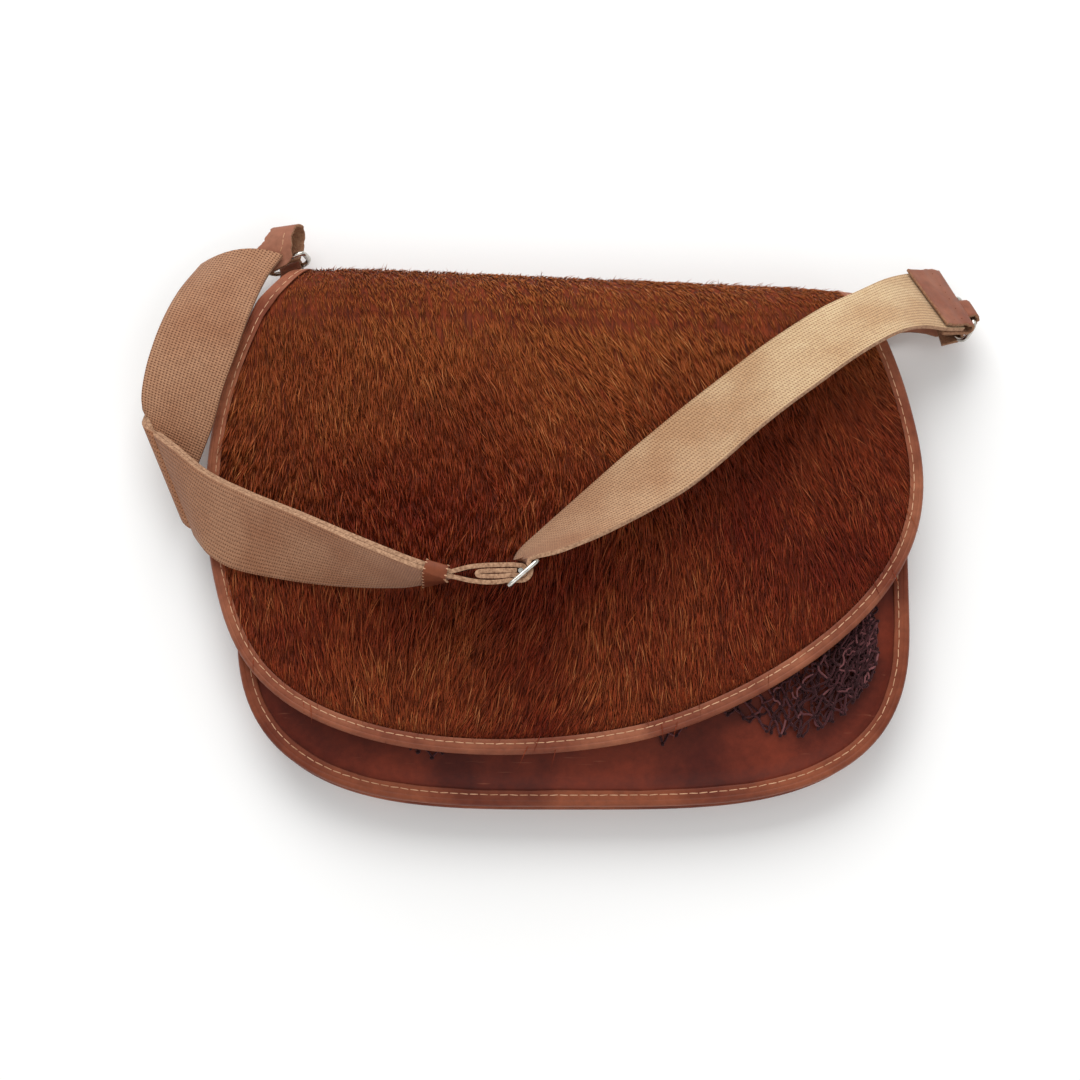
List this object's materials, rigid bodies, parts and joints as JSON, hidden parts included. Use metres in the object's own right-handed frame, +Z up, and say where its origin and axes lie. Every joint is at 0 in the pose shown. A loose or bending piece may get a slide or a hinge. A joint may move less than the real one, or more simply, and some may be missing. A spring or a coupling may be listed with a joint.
{
  "type": "hunting game bag",
  "caption": "Flat leather game bag lying on its back, with a hair-on hide flap, a carrying net on the front and a woven shoulder strap with slider and keeper.",
  "frame": {"origin": "middle of the back's flat outer face, which lies on the floor", "axes": "+X towards the bag's right as seen from its front, +Y towards its top edge, +Z up off the floor, out of its front"},
  "size_m": [0.4932, 0.3412, 0.112],
  "materials": {
    "panel_leather": "smooth reddish-brown leather, waxed",
    "binding_leather": "thin folded binding leather with a line of stitches",
    "hair_on_hide": "hide with its short rusty-brown hair on",
    "net_cord": "matte knotted cord, dark burgundy",
    "woven_web": "ribbed woven web, tan",
    "strap_leather": "brown strap leather with raw edges",
    "nickel_plate": "polished nickel plate"
  },
  "bodies": {
    "root": {"back_panel": "panel_leather", "gusset": "panel_leather", "front_panel": "panel_leather", "front_binding": "binding_leather", "back_binding": "binding_leather", "flap_binding": "binding_leather", "flap_hide": "hair_on_hide", "net": "net_cord", "strap_left": "woven_web", "strap_right": "woven_web", "keeper": "strap_leather", "strap_end_left": "strap_leather", "strap_end_right": "strap_leather", "tab_left": "strap_leather", "tab_right": "strap_leather", "slider": "nickel_plate", "ring_left": "nickel_plate", "ring_right": "nickel_plate"}
  },
  "joints": []
}
